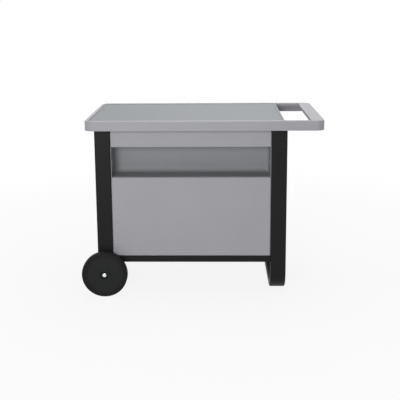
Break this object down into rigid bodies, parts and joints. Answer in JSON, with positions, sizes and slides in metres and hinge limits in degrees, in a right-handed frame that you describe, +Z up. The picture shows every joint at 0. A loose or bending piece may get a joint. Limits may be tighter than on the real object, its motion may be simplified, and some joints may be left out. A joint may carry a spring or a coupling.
{
  "type": "barbecue trolley",
  "caption": "Wheeled barbecue trolley: steel tabletop with handle hoop, cabinet with open recess over a wide front panel, shelf, sled foot on one side and wheels on the other.",
  "frame": {"origin": "on the floor, at the centre of the trolley's outer box in plan", "axes": "+Z up; the front faces -Y; +X to the handle end; -X to the wheel end; the wheels turn about Y"},
  "size_m": [1.0636, 0.56, 0.796],
  "materials": {
    "grey_paint": "satin light grey powder coat",
    "deck_paint": "satin cool grey powder coat",
    "black_paint": "satin black powder coat",
    "black_plastic": "moulded black",
    "tyre_rubber": "matt black solid tyre",
    "zinc_steel": "zinc plated",
    "bright_chrome": "polished",
    "grey_nylon": "moulded grey nylon"
  },
  "bodies": {
    "trolley": {"top_frame": "grey_paint", "deck_panel": "deck_paint", "deck_stiffener_front": "black_paint", "deck_stiffener_rear": "black_paint", "right_sled": "black_paint", "right_sled_plug_front": "black_plastic", "right_sled_plug_rear": "black_plastic", "left_front_leg": "black_paint", "left_rear_leg": "black_paint", "left_front_leg_plug": "black_plastic", "left_rear_leg_plug": "black_plastic", "left_top_rail": "black_paint", "right_top_rail": "black_paint", "rear_top_rail": "black_paint", "bottom_shelf": "black_paint", "front_panel": "grey_paint", "apron_panel": "grey_paint", "tool_tray": "deck_paint", "left_side_panel": "grey_paint", "right_side_panel": "grey_paint", "panel_screw_low_left": "zinc_steel", "panel_screw_low_right": "zinc_steel", "panel_screw_high_left": "zinc_steel", "panel_screw_high_right": "zinc_steel", "apron_screw_left": "zinc_steel", "apron_screw_right": "zinc_steel", "tray_screw_left": "zinc_steel", "tray_screw_right": "zinc_steel", "side_screw_low_left": "zinc_steel", "side_screw_low_right": "zinc_steel", "side_screw_high_left": "zinc_steel", "side_screw_high_right": "zinc_steel", "shelf_bolt_front_left": "zinc_steel", "shelf_bolt_front_right": "zinc_steel", "shelf_bolt_rear_left": "zinc_steel", "shelf_bolt_rear_right": "zinc_steel", "top_bolt_front_left": "zinc_steel", "top_bolt_front_right": "zinc_steel", "top_bolt_rear_left": "zinc_steel", "top_bolt_rear_right": "zinc_steel", "axle": "zinc_steel", "front_axle_bush": "grey_nylon", "rear_axle_bush": "grey_nylon", "front_wheel_washer": "zinc_steel", "rear_wheel_washer": "zinc_steel", "front_axle_cap": "bright_chrome", "rear_axle_cap": "bright_chrome"},
    "front_wheel": {"front_wheel_disc": "black_plastic", "front_tyre": "tyre_rubber"},
    "rear_wheel": {"rear_wheel_disc": "black_plastic", "rear_tyre": "tyre_rubber"}
  },
  "joints": [
    {"name": "front_wheel_spin", "type": "hinge", "parent": "trolley", "child": "front_wheel", "pos_m": [-0.43025, -0.2559, 0.1015], "axis": [0, 1, 0], "continuous": true},
    {"name": "rear_wheel_spin", "type": "hinge", "parent": "trolley", "child": "rear_wheel", "pos_m": [-0.43025, 0.2559, 0.1015], "axis": [0, 1, 0], "continuous": true}
  ]
}
